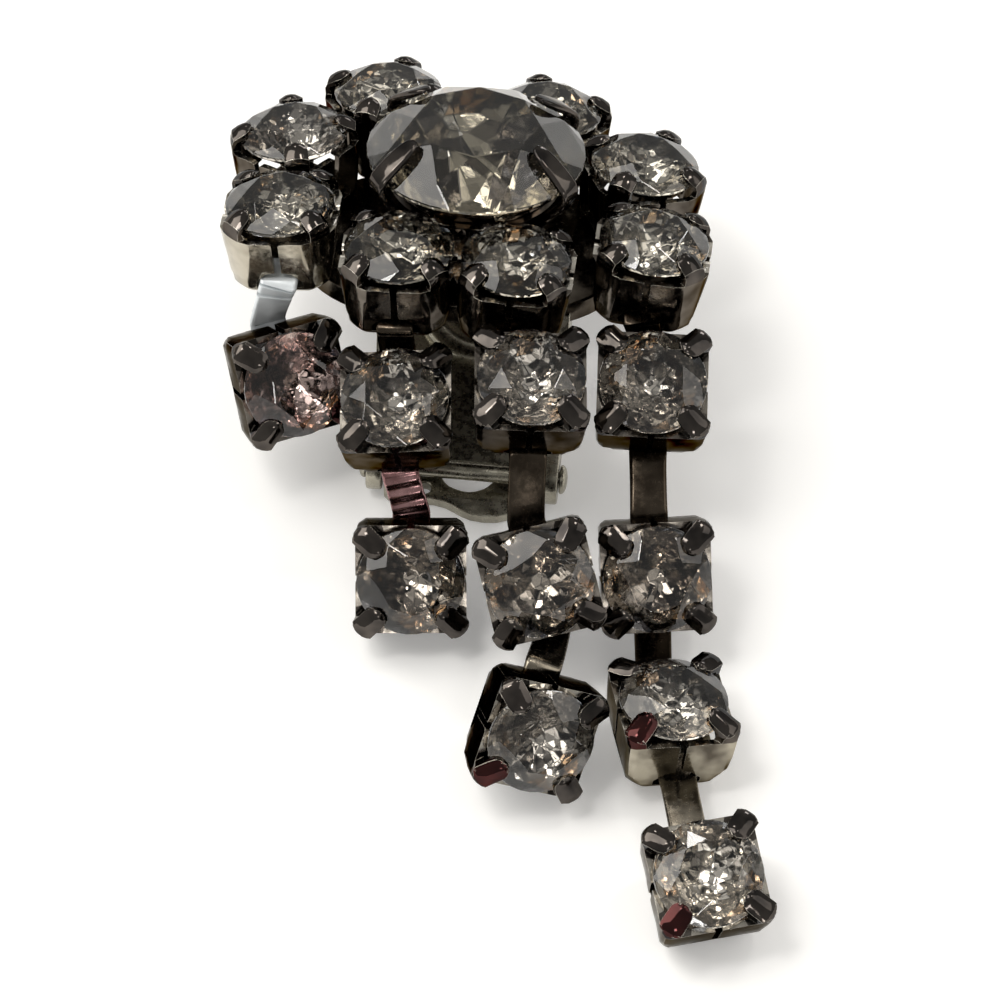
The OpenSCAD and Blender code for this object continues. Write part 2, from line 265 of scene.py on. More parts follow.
def channels(tree, colour):
    node = tree.nodes.new("ShaderNodeSeparateColor")
    fill(tree, node, {0: colour})
    return node.outputs


def ramp(tree, value, stops):
    """Colour by value, from stops of position and colour."""
    node = tree.nodes.new("ShaderNodeValToRGB")
    elements = node.color_ramp.elements
    for element, (position, colour) in zip(elements, (stops[0], stops[-1])):
        element.position = position
        element.color = (*colour, 1)
    for position, colour in stops[1:-1]:
        elements.new(position).color = (*colour, 1)
    fill(tree, node, {0: value})
    return node.outputs[0]


def remap(tree, value, low, high, start, end):
    """Runs from low to high while the value runs from start to end."""
    node = tree.nodes.new("ShaderNodeMapRange")
    fill(tree, node, {"Value": value, "From Min": start, "From Max": end, "To Min": low, "To Max": high})
    return node.outputs[0]


def mix_colour(tree, amount, base, colour):
    """The base colour, covered by another colour as far as amount goes from 0 to 1."""
    node = tree.nodes.new("ShaderNodeMix")
    node.data_type = "RGBA"
    fill(tree, node, {0: amount, 6: base, 7: (*colour, 1)})
    return node.outputs[2]


def maths(tree, operation, *values):
    node = tree.nodes.new("ShaderNodeMath")
    node.operation = operation
    fill(tree, node, dict(enumerate(values)))
    return node.outputs[0]


def vector_maths(tree, operation, inputs):
    node = tree.nodes.new("ShaderNodeVectorMath")
    node.operation = operation
    fill(tree, node, inputs)
    return node.outputs[0]


def bumps(tree, shader, heights, normal=None):
    """Bump of one or more heights on top of each other, each with its strength and distance."""
    for height, strength, distance in heights:
        node = tree.nodes.new("ShaderNodeBump")
        fill(tree, node, {"Height": height, "Strength": strength, "Distance": distance})
        if normal is not None:
            tree.links.new(normal, node.inputs["Normal"])
        normal = node.outputs[0]
    tree.links.new(normal, shader.inputs["Normal"])


def metal(name, bright, dull, shade_and_tarnish_colour, smooth, rough, recess_shade):
    """Worn plated metal: bright and dull patches, painted shade in the recesses broken into tarnished
    patches, fine scratches and dents.
    """
    material, tree, shader = new_material(name)
    coords = object_coords(tree)
    broad = noise(tree, coords, 700, 2.0)
    fine = noise(tree, coords, 4200, 3.0)
    # Painted shade: ambient occlusion darkens the colour in the recesses, in patches like tarnished metal
    occlusion = tree.nodes.new("ShaderNodeAmbientOcclusion")
    occlusion.samples = 6
    fill(tree, occlusion, {"Distance": 0.0007})
    occluded_shade = remap(tree, occlusion.outputs["AO"], recess_shade, 0.0, 0.25, 0.85)
    shade_and_tarnish_mask = maths(tree, "MULTIPLY", occluded_shade, remap(tree, fine, 0.55, 1.0, 0.35, 0.65))
    base = ramp(tree, broad, [(0.32, dull), (0.66, bright)])
    fill(tree, shader, {
        "Metallic": 1.0,
        "Base Color": mix_colour(tree, shade_and_tarnish_mask, base, shade_and_tarnish_colour),
        "Roughness": remap(tree, fine, smooth, rough, 0.4, 0.75),
    })
    bumps(tree, shader, [(broad, 0.35, 0.00008), (fine, 0.06, 0.00002)])
    return material


def glass(name, tint):
    """Clear cut glass, slightly smeared: the front and the girdle of a stone."""
    material, tree, shader = new_material(name)
    smear = noise(tree, object_coords(tree), 1300, 3.0)
    fill(tree, shader, {
        "Base Color": (*tint, 1),
        "Transmission Weight": 1.0,
        "IOR": 1.56,
        "Specular IOR Level": 0.34,
        "Roughness": remap(tree, smear, 0.0, 0.015, 0.45, 0.8),
    })
    bumps(tree, shader, [(smear, 0.05, 0.00003)])
    return material


def foil_colour(tree, bits, chips, gaps, light, dark):
    """Random tones from dark to light with painted glints in the brightest bits, a few amber and blue bits
    painted as reflections, and dark lines between the bits.
    """
    tone, chip = channels(tree, bits), channels(tree, chips)
    mixed = maths(tree, "MULTIPLY_ADD", tone[0], 0.6, remap(tree, chip[1], 0.0, 0.4, 0.0, 1.0))
    middle = tuple(0.5 * a + 0.5 * b for a, b in zip(light, dark))
    seam = tuple(0.35 * c for c in dark)
    # The brightest bits are painted glints
    painted_glint = (0.80, 0.78, 0.74)
    colour = ramp(tree, mixed, [(0.15, dark), (0.45, middle), (0.74, light), (0.84, light), (0.9, painted_glint)])
    # Painted reflections: a few amber and blue bits stand for warm and cool surroundings mirrored in the
    # foil
    colour = mix_colour(tree, remap(tree, tone[1], 0.0, 0.65, 0.94, 0.95), colour, (0.55, 0.35, 0.18))
    colour = mix_colour(tree, remap(tree, tone[2], 0.0, 0.7, 0.935, 0.945), colour, (0.30, 0.36, 0.48))
    return mix_colour(tree, remap(tree, gaps, 0.65, 0.0, 0.0, 0.05), colour, seam)


def foil_normal(tree, bits, chips, uneven):
    """The surface's normal, leaning another way in each bit and a little in each chip."""
    normal = tree.nodes.new("ShaderNodeNewGeometry").outputs["Normal"]
    leans = []
    for colour, amount in ((bits, uneven), (chips, uneven * 0.5)):
        centred = vector_maths(tree, "SUBTRACT", {0: colour, 1: (0.5, 0.5, 0.5)})
        leans.append(vector_maths(tree, "SCALE", {0: centred, "Scale": amount}))
    lean = vector_maths(tree, "ADD", {0: leans[0], 1: leans[1]})
    added = vector_maths(tree, "ADD", {0: normal, 1: lean})
    return vector_maths(tree, "NORMALIZE", {0: added})


def foil(name, light, dark, scale, uneven):
    """Mirror foil on the back of a stone: dulled in patches, crinkled in small flat bits."""
    material, tree, shader = new_material(name)
    coords = object_coords(tree)
    patch = noise(tree, coords, 1500, 3.0)
    bits = cells(tree, coords, scale)["Color"]
    chips = cells(tree, coords, scale * 2.0)["Color"]
    gaps = cells(tree, coords, scale, "DISTANCE_TO_EDGE")["Distance"]
    fill(tree, shader, {
        "Metallic": 1.0,
        "Base Color": foil_colour(tree, bits, chips, gaps, light, dark),
        "Roughness": remap(tree, patch, 0.05, 0.2, 0.4, 0.75),
    })
    bumps(tree, shader, [(patch, 0.15, 0.00005)], foil_normal(tree, bits, chips, uneven))
    return material


def shader_of(material):
    return material.node_tree.nodes["Principled BSDF"]


MAT = {key: metal(f"{key}_metal", *look) for key, look in METALS.items()}
# The pale link is less metallic, so it shows pale instead of mirroring dark neighbours: painted light
shader_of(MAT["link_lit"]).inputs["Metallic"].default_value = 0.3
# Painted shade: these metals stay dark at a glancing angle too, where they would mirror the pale floor
for key in SHADED_AT_GLANCE_METALS:
    shader_of(MAT[key]).inputs["Specular Tint"].default_value = (0.25, 0.23, 0.20, 1)
for key, weight in COATS.items():
    shader_of(MAT[key]).inputs["Coat Weight"].default_value = weight
    shader_of(MAT[key]).inputs["Coat IOR"].default_value = 1.5
    shader_of(MAT[key]).inputs["Coat Roughness"].default_value = 0.05

GLASS = {}
for key, (tint, *foil_look) in STONES.items():
    GLASS[key] = glass(f"{key}_glass", tint), foil(f"{key}_foil", *foil_look)


# Meshes and pieces
def new_piece(name, mesh, place, materials, node, body="earring"):
    """A piece in its place, riding on its body and standing for its CAD node."""
    piece = bpy.data.objects.new(name, mesh)
    bpy.context.scene.collection.objects.link(piece)
    piece.matrix_world = place
    for material in materials:
        mesh.materials.append(material)
    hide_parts(node)
    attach(piece, body)
    return piece


def new_mesh(name, points, faces, tones=()):
    """A mesh from points in millimetres; tones number the material of each face."""
    mesh = bpy.data.meshes.new(name)
    mesh.from_pydata([(x * MM, y * MM, z * MM) for x, y, z in points], [], faces)
    if tones:
        mesh.polygons.foreach_set("material_index", tones)
    mesh.update()
    return mesh


def clean(mesh, merge=0.0, thin=0.0):
    """Joins points closer than merge, takes out faces thinner than thin, and turns all faces outwards."""
    work = bmesh.new()
    work.from_mesh(mesh)
    if merge:
        bmesh.ops.remove_doubles(work, verts=work.verts, dist=merge)
    if thin:
        bmesh.ops.dissolve_degenerate(work, edges=work.edges, dist=thin)
    bmesh.ops.recalc_face_normals(work, faces=work.faces)
    work.to_mesh(mesh)
    work.free()


def smooth(mesh, angle):
    """Smooth shading, with sharp edges above an angle in degrees."""
    mesh.shade_smooth()
    mesh.set_sharp_from_angle(angle=math.radians(angle))


def bevel(piece, width, segments=2, angle=35, material=-1):
    modifier = piece.modifiers.new("edges", "BEVEL")
    modifier.material = material
    modifier.width = width * MM
    modifier.segments = segments
    modifier.limit_method = "ANGLE"
    modifier.angle_limit = math.radians(angle)
    modifier.harden_normals = segments > 1
    modifier.use_clamp_overlap = True


def sweep(name, stations, corners):
    """A flat strip with rounded edges. Stations: point, unit vectors across and up, width, thickness."""
    section = []
    for sx, sy in ((1, 1), (-1, 1), (-1, -1), (1, -1)):
        for j in range(corners + 1):
            a = math.pi / 2 * j / corners
            turn = (math.cos(a), math.sin(a)) if sx * sy > 0 else (math.sin(a), math.cos(a))
            section.append((sx, sy, *turn))
    size = len(section)
    points, faces = [], []
    for middle, across, up, width, thick in stations:
        edge = min(thick * 0.45, width * 0.45)
        for sx, sy, ca, sa in section:
            dx = sx * (width / 2 - edge + edge * ca)
            dy = sy * (thick / 2 - edge + edge * sa)
            points.append(tuple(Vector(middle) + Vector(across) * dx + Vector(up) * dy))
    for i in range(len(stations) - 1):
        for j in range(size):
            j1 = (j + 1) % size
            faces.append((i * size + j, i * size + j1, (i + 1) * size + j1, (i + 1) * size + j))
    faces.append(list(range(size))[::-1])
    faces.append([(len(stations) - 1) * size + j for j in range(size)])
    mesh = new_mesh(name, points, faces)
    clean(mesh)
    smooth(mesh, 50)
    return mesh


def lathe(name, profile, steps=64):
    """A closed profile of radius and height turned about Z."""
    points, faces = [], []
    size = len(profile)
    for i in range(steps):
        a = 2 * math.pi * i / steps
        points += [(radius * math.cos(a), radius * math.sin(a), z) for radius, z in profile]
        i1 = (i + 1) % steps
        for j in range(size):
            j1 = (j + 1) % size
            faces.append((i * size + j, i1 * size + j, i1 * size + j1, i * size + j1))
    mesh = new_mesh(name, points, faces)
    clean(mesh, merge=1e-7, thin=1e-8)
    smooth(mesh, 40)
    return mesh


def slab(name, outlines, bottom, top, edge):
    """A plate from closed outlines, the first outside and the others holes, with rounded edges."""
    curve = bpy.data.curves.new(name, "CURVE")
    curve.dimensions = "2D"
    curve.fill_mode = "BOTH"
    curve.extrude = ((top - bottom) / 2 - edge) * MM
    curve.bevel_depth = edge * MM
    curve.offset = -edge * MM
    curve.bevel_resolution = 2
    for outline in outlines:
        spline = curve.splines.new("POLY")
        spline.points.add(len(outline) - 1)
        for point, (x, y) in zip(spline.points, outline):
            point.co = (x * MM, y * MM, 0, 1)
        spline.use_cyclic_u = True
    holder = bpy.data.objects.new(name, curve)
    bpy.context.scene.collection.objects.link(holder)
    solid = holder.evaluated_get(bpy.context.evaluated_depsgraph_get())
    mesh = bpy.data.meshes.new_from_object(solid)
    bpy.data.objects.remove(holder)
    bpy.data.curves.remove(curve)
    mesh.transform(move(0, 0, (bottom + top) / 2))
    clean(mesh, merge=2e-7)
    mesh.materials.clear()
    smooth(mesh, 35)
    return mesh


def joined(name, parts):
    """One mesh from several meshes, each with its place."""
    work = bmesh.new()
    for mesh, place in parts:
        part = mesh.copy()
        part.transform(place)
        work.from_mesh(part)
        bpy.data.meshes.remove(part)
    whole = bpy.data.meshes.new(name)
    work.to_mesh(whole)
    work.free()
    return whole


def arc(x, y, r, start, end, count):
    """Points in count steps on an arc, its angles in degrees."""
    angles = [math.radians(start + (end - start) * i / count) for i in range(count + 1)]
    return [(x + r * math.cos(a), y + r * math.sin(a)) for a in angles]


# Cups
WINDOW_HALF = WINDOW_W / 2
PRONG_HALF = PRONG_W / 2

# Columns of half a wall, from its slot to the corner. Each is placed by its distance from the slot's middle,
# by a share of the way from the window to the prong, or by its distance from the cup's diagonal.
COLUMNS = [("slot", distance) for distance in (0.0, SLOT_W / 2, 0.24, 0.6, WINDOW_HALF)]
COLUMNS += [("share", share) for share in (0.33, 0.67)]
COLUMNS += [("diagonal", PRONG_HALF * part) for part in (1, 0.75, 0.4, 0)]
SLOT_COLUMN = 1
WINDOW_COLUMN = 4
# Rim faces up to this column take the painted rim highlight
RIM_HIGHLIGHT_COLUMN = 5
PRONG_COLUMN = 7

# Rows of a wall: the level ones, those below the window's arch as shares of its height, and how far the rim
# dips at the columns beside a slot
FLOOR_ROW = 3
ARCH_ROW = 6
TOP_ROW = 10
ROW_HEIGHTS = {0: 0.0, 1: 0.07, 2: 0.25, FLOOR_ROW: FLOOR_Z, 8: 2.1, 9: 2.85}
ARCH_SHARES = {4: 0.35, 5: 0.72}
RIM_DIPS = {1: 0.1, 2: 0.03}

# Numbers of a cup's materials. The rim's material is a bright painted highlight.
WALL, PRONG, RIM, RED_PRONG = range(4)

# Points across a prong, from edge to edge
PRONG_ACROSS = (-1.0, -0.75, -0.4, 0.0, 0.4, 0.75, 1.0)
NO_LIMIT = 9


def between(steps, z):
    """Value at height z on a line through steps of height and value."""
    for (z0, v0), (z1, v1) in zip(steps, steps[1:]):
        if z <= z1:
            return v0 + (v1 - v0) * (z - z0) / (z1 - z0)
    return steps[-1][1]


def arch(column):
    """Height of the window's top at a column."""
    share = min(1.0, COLUMNS[column][1] / WINDOW_HALF)
    return FLOOR_Z + WINDOW_H * (0.38 + 0.62 * math.sqrt(max(0.0, 1 - share ** 2.4)))


def level(column, row):
    """Height of a wall row at a column; rows 4 to 7 follow the window's arch."""
    if row == TOP_ROW:
        return RIM_Z - RIM_DIPS.get(column, 0)
    if row in ROW_HEIGHTS:
        return ROW_HEIGHTS[row]
    top = arch(min(column, WINDOW_COLUMN))
    if column > WINDOW_COLUMN:
        top += 0.12 * (column - WINDOW_COLUMN) / 3
    if row < ARCH_ROW:
        return FLOOR_Z + (top - FLOOR_Z) * ARCH_SHARES[row]
    return top if row == ARCH_ROW else top + 0.22


def turned(point, quarter, mirrored):
    """A point of the first half quarter of a cup, brought to any other."""
    x, y, z = point
    if mirrored:
        x, y = y, x
    c, s = [(1, 0), (0, 1), (-1, 0), (0, -1)][quarter]
    return x * c - y * s, x * s + y * c, z


class Cup:
    """A stamped cup: four sheet walls with slots and arched windows, and four prongs bent over the stone.

    The stone's radius is r. The walls stand out past it by side at the rim, and the prongs by out.
    """

    def __init__(self, r, out, side):
        self.r = r
        self.out = out
        self.side = side
        self.points = []
        self.faces = []
        self.tones = []
        # The columns all round, as quarter, column of the half wall, and whether it is mirrored
        self.ring = []
        for quarter in range(4):
            self.ring += [(quarter, column, False) for column in range(len(COLUMNS))]
            self.ring += [(quarter, column, True) for column in range(len(COLUMNS) - 2, 0, -1)]
        # Numbers of the points outside and inside the walls, by place in the ring and row
        self.outside = {}
        self.inside = {}

    def point(self, place):
        self.points.append(place)
        return len(self.points) - 1

    def face(self, corners, tone=WALL):
        self.faces.append(corners)
        self.tones.append(tone)

    def half_width(self, z):
        steps = [(height, half) for height, half, flat in CUP_STEPS[:3]]
        return between(steps + [(RIM_Z, self.r + self.side)], z)

    def corner_radius(self, z):
        rim = self.r + self.out
        steps = [(0, BASE_W + 0.2), (0.35, BASE_W + 0.6), (1.4, rim - 0.14), (CUP_H - 0.5, rim - 0.02)]
        return between(steps + [(CUP_H, rim)], z)

    def wall_point(self, column, z, inset=0.0):
        """Point on the wall in the first half quarter, pulled in from the outside by inset."""
        half = self.half_width(z) - inset
        corner = min(self.corner_radius(z) - inset, half * math.sqrt(2) - 0.02)
        flat = math.sqrt(corner * corner - half * half)
        kind, value = COLUMNS[column]
        if kind == "slot":
            return half, min(value, flat), z
        if kind == "share":
            stop = min(flat, half - PRONG_HALF * math.sqrt(2))
            return half, WINDOW_HALF + value * max(0.02, stop - WINDOW_HALF), z
        y = half - value * math.sqrt(2)
        if y <= flat:
            return half, max(y, WINDOW_HALF + 0.03), z
        angle = math.pi / 4 - math.asin(value / corner)
        return corner * math.cos(angle), corner * math.sin(angle), z

    def edge_face(self, a, b, tone=WALL):
        """A face of the sheet's edge, between two places in the ring that are given with their rows."""
        self.face((self.outside[a], self.outside[b], self.inside[b], self.inside[a]), tone)

    def after(self, k):
        return (k + 1) % len(self.ring)

    def is_open(self, k, row):
        """Whether the wall is open above a row, from a place in the ring to the next."""
        near, far = sorted((self.ring[k][1], self.ring[self.after(k)][1]))
        if row >= FLOOR_ROW and near < SLOT_COLUMN:
            return True
        return FLOOR_ROW <= row < ARCH_ROW and far <= WINDOW_COLUMN

    def wall_points(self):
        for k, (quarter, column, mirrored) in enumerate(self.ring):
            for row in range(TOP_ROW + 1):
                if row > FLOOR_ROW and column < SLOT_COLUMN:
                    continue
                z = level(column, row)
                self.outside[k, row] = self.point(turned(self.wall_point(column, z), quarter, mirrored))
                if row >= FLOOR_ROW:
                    inset = WALL_T if row > FLOOR_ROW else WALL_T + 0.02
                    place = turned(self.wall_point(column, z, inset), quarter, mirrored)
                    self.inside[k, row] = self.point(place)

    def wall_faces(self):
        outside, inside = self.outside, self.inside
        for k in range(len(self.ring)):
            k1 = self.after(k)
            for row in range(TOP_ROW):
                if self.is_open(k, row):
                    continue
                self.face((outside[k, row], outside[k1, row], outside[k1, row + 1], outside[k, row + 1]))
                if row >= FLOOR_ROW:
                    self.face((inside[k1, row], inside[k, row], inside[k, row + 1], inside[k1, row + 1]))
        self.face([outside[k, 0] for k in range(len(self.ring))][::-1])
        self.face([inside[k, FLOOR_ROW] for k in range(len(self.ring))])

    def level_edges(self, k):
        """Level edges of the sheet from a place in the ring to the next: the floor, windows and rim."""
        k1 = self.after(k)
        columns = self.ring[k][1], self.ring[k1][1]
        if self.is_open(k, FLOOR_ROW):
            self.edge_face((k, FLOOR_ROW), (k1, FLOOR_ROW))
        for row in range(FLOOR_ROW + 1, TOP_ROW + 1):
            if (k, row) not in self.outside or (k1, row) not in self.outside:
                continue
            below_open = self.is_open(k, row - 1)
            above_open = row == TOP_ROW or self.is_open(k, row)
            under_prong = row == TOP_ROW and min(columns) >= PRONG_COLUMN
            if above_open and not below_open and not under_prong:
                self.edge_face((k, row), (k1, row), RIM if max(columns) <= RIM_HIGHLIGHT_COLUMN else WALL)
            if below_open and not above_open:
                self.edge_face((k1, row), (k, row))

    def upright_edges(self, k):
        """Upright edges of the sheet at a place in the ring, beside a window or a slot."""
        before = (k - 1) % len(self.ring)
        for row in range(FLOOR_ROW, TOP_ROW):
            if (k, row) not in self.outside or (k, row + 1) not in self.outside:
                continue
            left_open, right_open = self.is_open(before, row), self.is_open(k, row)
            if left_open and not right_open:
                self.edge_face((k, row), (k, row + 1))
            if right_open and not left_open:
                self.edge_face((k, row + 1), (k, row))

    def prong_rows(self):
        """Rows of a prong above the rim, from its root to its tip.

        Each has its outer radius and height, its inner radius and height, its half width, and how far out
        along the diagonal the corner of the walls lets it reach.
        """
        r, out, wide = self.r, self.out, PRONG_HALF
        corner = self.half_width(RIM_Z) * math.sqrt(2)
        return [
            (r + out, CUP_H, r + 0.25, CUP_H, wide, corner + 0.08),
            (r + out - 0.07, CUP_H + 0.22, r + 0.22, CUP_H + 0.1, wide, corner + 0.16),
            (r + out * 0.78, CUP_H + 0.38, r + 0.16, CUP_H + 0.12, wide, corner + 0.3),
            (r + out * 0.45, CUP_H + 0.5, r + 0.06, CUP_H + 0.16, wide, NO_LIMIT),
            (r + out * 0.15, CUP_H + 0.6, r - 0.04, CUP_H + 0.24, wide, NO_LIMIT),
            (r - 0.12, CUP_H + 0.68, r - 0.2, CUP_H + 0.35, wide * 0.97, NO_LIMIT),
            (r - 0.28, CUP_H + 0.735, r - 0.3, CUP_H + 0.42, wide * 0.86, NO_LIMIT),
            (r - 0.4, CUP_H + 0.74, r - 0.41, CUP_H + 0.5, wide * 0.66, NO_LIMIT),
            (r - 0.49, CUP_H + 0.72, r - 0.495, CUP_H + 0.56, wide * 0.42, NO_LIMIT),
            (r - 0.545, CUP_H + 0.68, r - 0.54, CUP_H + 0.6, wide * 0.18, NO_LIMIT),
        ]

    def prong(self, quarter, tone):
        """A prong on a corner of the cup, leaning, lifted and twisted a little more towards its tip."""
        start = quarter * (2 * len(COLUMNS) - 2) + PRONG_COLUMN
        last = len(PRONG_ACROSS) - 1
        old_out = [self.outside[start + i, TOP_ROW] for i in range(last + 1)]
        old_in = [self.inside[start + i, TOP_ROW] for i in range(last + 1)]
        lean = rng.uniform(-DENT, DENT * 0.4)
        lift = rng.uniform(-0.3, 1.0) * DENT
        twist = rng.uniform(-1, 1) * DENT
        diagonal = math.radians(45 + 90 * quarter)
        along = Vector((math.cos(diagonal), math.sin(diagonal)))
        across = Vector((-math.sin(diagonal), math.cos(diagonal)))
        rows = self.prong_rows()
        for j, (r_out, z_out, r_in, z_in, wide, limit) in enumerate(rows):
            share = max(0.0, (j - 1) / (len(rows) - 2))
            new_out, new_in = [], []
            for offset in PRONG_ACROSS:
                side = offset * wide
                drop = min(0.26 * abs(offset) ** 2.2 * min(1.0, (j + 0.6) / 4), (z_out - z_in) * 0.62)
                reach = min(math.sqrt(r_out * r_out - side * side), limit - abs(side)) + lean * share
                at = along * reach + across * (side + twist * share)
                new_out.append(self.point((at.x, at.y, z_out - drop + lift * share)))
                reach = math.sqrt(r_in * r_in - side * side) + lean * share
                at = along * reach + across * (side + twist * share)
                new_in.append(self.point((at.x, at.y, z_in + lift * share)))
            for i in range(last):
                self.face((old_out[i], old_out[i + 1], new_out[i + 1], new_out[i]), tone)
                self.face((old_in[i + 1], old_in[i], new_in[i], new_in[i + 1]), tone)
            self.face((old_out[0], new_out[0], new_in[0], old_in[0]), tone)
            self.face((new_out[last], old_out[last], old_in[last], new_in[last]), tone)
            old_out, old_in = new_out, new_in
        for i in range(last):
            self.face((old_out[i], old_out[i + 1], old_in[i + 1], old_in[i]), tone)

    def mesh(self, name, red=()):
        """The whole mesh; red names the quarters with a reddish prong."""
        self.wall_points()
        self.wall_faces()
        for k in range(len(self.ring)):
            self.level_edges(k)
            self.upright_edges(k)
        for quarter in range(4):
            self.prong(quarter, RED_PRONG if quarter in red else PRONG)
        mesh = new_mesh(name, self.points, self.faces, self.tones)
        clean(mesh)
        mesh.shade_smooth()
        return mesh


def ring_cup(i):
    name = f"ring_cup_{i + 1}"
    mesh = Cup(RING_R, RING_OUT, RING_SIDE).mesh(name)
    # One ring cup takes the paler cluster metal as painted light
    wall = "cluster_lit" if i == LIT_RING_CUP else "cluster"
    metals = [MAT[wall], MAT["prong"], MAT["edge"]]
    piece = new_piece(name, mesh, ring_frame(i), metals, "cluster_frame")
    # The rims and bevels take the bright edge metal, a painted highlight
    bevel(piece, 0.05, material=RIM)


def strand_cup(key):
    name = f"strand_cup_{key}"
    mesh = Cup(STRAND_R, STRAND_OUT, STRAND_SIDE).mesh(name, RED_PRONGS.get(key, ()))
    # Rims take a painted highlight, brighter on some cups
    rim = "edge" if key in RIM_HIGHLIGHT_CUPS else "rim_highlight_dim"
    metals = [MAT[CUP_METALS.get(key, "cup")], MAT["prong"], MAT[rim], MAT["prong_red"]]
    piece = new_piece(name, mesh, cup_frame(key), metals, f"cup_{key}")
    # The rims and bevels take the bright edge metal, a painted highlight
    bevel(piece, 0.05, material=RIM)


# Stones
def brilliant(name, r, crown, table, depth, tones=(1,) * 8):
    """A round stone: table, star, kite and upper facets, a thin girdle, and a faceted back.

    Material 0 is the glass and 1 the foil; tones are the materials of the eight large facets of the back.
    """
    points, faces, materials = [], [], []

    def ring(count, radius, z, turn=0.0):
        """Points evenly round the axis, the first of them at the angle turn."""
        first = len(points)
        for k in range(count):
            a = math.radians(360 / count * k + turn)
            points.append((radius * math.cos(a), radius * math.sin(a), z))
        return list(range(first, first + count))

    def face(corners, material):
        faces.append(corners)
        materials.append(material)

    half_step = math.cos(math.radians(22.5))
    table_r = table * r
    middle_r = table_r + 0.5 * (r - table_r)
    middle_z = crown - (middle_r - table_r) / (r - table_r) * (crown - GIRDLE_T)
    tip_r = 0.16 * r
    back_r = 0.42 * r
    back_z = -depth * (1 - (back_r - tip_r) / (r - tip_r))
    top = ring(8, table_r, crown)
    middle = ring(8, middle_r / half_step, middle_z, 22.5)
    girdle = ring(32, r, GIRDLE_T)
    edge = ring(32, r, 0)
    tip = ring(8, tip_r, -depth)
    back = ring(8, back_r / half_step, back_z, 22.5)
    face(top, 0)
    for k in range(8):
        face((top[k], middle[k], top[(k + 1) % 8]), 0)
        face((top[k], middle[k - 1], girdle[4 * k], middle[k]), 0)
        for j in range(4 * k, 4 * k + 4):
            face((middle[k], girdle[j], girdle[(j + 1) % 32]), 0)
    for k in range(32):
        face((girdle[k], edge[k], edge[(k + 1) % 32], girdle[(k + 1) % 32]), 0)
    face(tip[::-1], 1)
    for k in range(8):
        face((tip[k], tip[(k + 1) % 8], back[k]), 1)
        face((tip[k], back[k], edge[4 * k], back[k - 1]), tones[k])
        for j in range(4 * k, 4 * k + 4):
            face((back[k], edge[(j + 1) % 32], edge[j]), 1)
    mesh = new_mesh(name, points, faces, materials)
    clean(mesh)
    mesh.shade_flat()
    return mesh


def small_stone(name, r, cup, look, node):
    """A stone of the ring or the tassel in its cup, turned at random."""
    mesh = brilliant(name, r, SMALL_CROWN, SMALL_TABLE, SMALL_DEPTH)
    place = cup @ move(0, 0, CUP_H) @ rot("Z", rng.uniform(0, 45))
    bevel(new_piece(name, mesh, place, GLASS[look], node), 0.025, segments=1, angle=4)


def ring_stone(i):
    look = "grey" if i == GREY_RING_STONE else "ring"
    small_stone(f"ring_gem_{i + 1}", RING_R, ring_frame(i), look, f"ring_stone_{i + 1}")


def strand_stone(key):
    look = STONE_LOOKS.get(key, "grey")
    small_stone(f"strand_gem_{key}", STRAND_R, cup_frame(key), look, f"stone_{key}")


def centre_stone():
    """The large stone. Of its back facets, counted from the right round the far side, two are dark."""
    tones = (1, 2, 1, 2, 1, 1, 1, 1)
    mesh = brilliant("centre_gem", CENTRE_R, CENTRE_CROWN, CENTRE_TABLE, CENTRE_DEPTH, tones)
    looks = [*GLASS["centre"], foil("centre_dark_foil", *CENTRE_DARK_FOIL)]
    piece = new_piece("centre_gem", mesh, CENTRE @ rot("Z", 3), looks, "centre_stone")
    bevel(piece, 0.035, segments=1, angle=4)


# Cluster
def centre_seat():
    """The cone on a short tube that carries the centre stone."""
    profile = [
        (1.95, -5.35), (2.6, -5.35), (2.68, -5.25), (2.75, -3.7), (2.85, -3.45),
        (3.8, -1.6), (3.82, -1.45), (3.66, -1.35), (2.45, -2.75), (1.95, -3.5),
    ]
    mesh = lathe("centre_seat", profile)
    new_piece("centre_seat", mesh, CENTRE, [MAT["cluster"]], "cluster_frame")


def centre_claw(name, angle):
    """A broad claw from the seat up the centre stone's side and over its crown."""
    r = CENTRE_R
    # Radius, height, width, thickness
    line = [
        (2.6, -3.5, 1.0, 0.45), (3.1, -2.9, 1.0, 0.45), (3.75, -2.1, 1.0, 0.45), (4.4, -1.3, 1.0, 0.42),
        (4.95, -0.6, 1.0, 0.4), (r + 0.3, -0.15, 1.02, 0.38), (r + 0.33, 0.15, 1.04, 0.38),
        (r + 0.2, 0.42, 1.04, 0.38), (r - 0.1, 0.68, 1.04, 0.38), (r - 0.5, 0.98, 1.02, 0.38),
        (r - 0.9, 1.26, 0.98, 0.36), (r - 1.25, 1.5, 0.86, 0.32), (r - 1.5, 1.66, 0.64, 0.24),
        (r - 1.65, 1.72, 0.34, 0.14),
    ]
    stations = []
    for i, (radius, z, width, thick) in enumerate(line):
        before, after = line[max(0, i - 1)], line[min(len(line) - 1, i + 1)]
        along = Vector((after[0] - before[0], 0, after[1] - before[1])).normalized()
        stations.append(((radius, 0, z), (0, 1, 0), (-along.z, 0, along.x), width, thick))
    mesh = sweep(name, stations, 4)
    new_piece(name, mesh, CENTRE @ rot("Z", angle), [MAT["prong"]], "cluster_frame")


def back_plate():
    """The long round-ended plate under the ring cups."""
    outline = arc(2.4, 0, PLATE_R, -90, 90, 28) + arc(-2.4, 0, PLATE_R, 90, 270, 28)
    bottom = -CUP_H - 0.75
    mesh = slab("back_plate", [outline], bottom, bottom + PLATE_T, 0.12)
    new_piece("back_plate", mesh, CLUSTER, [MAT["plate"]], "cluster_frame")


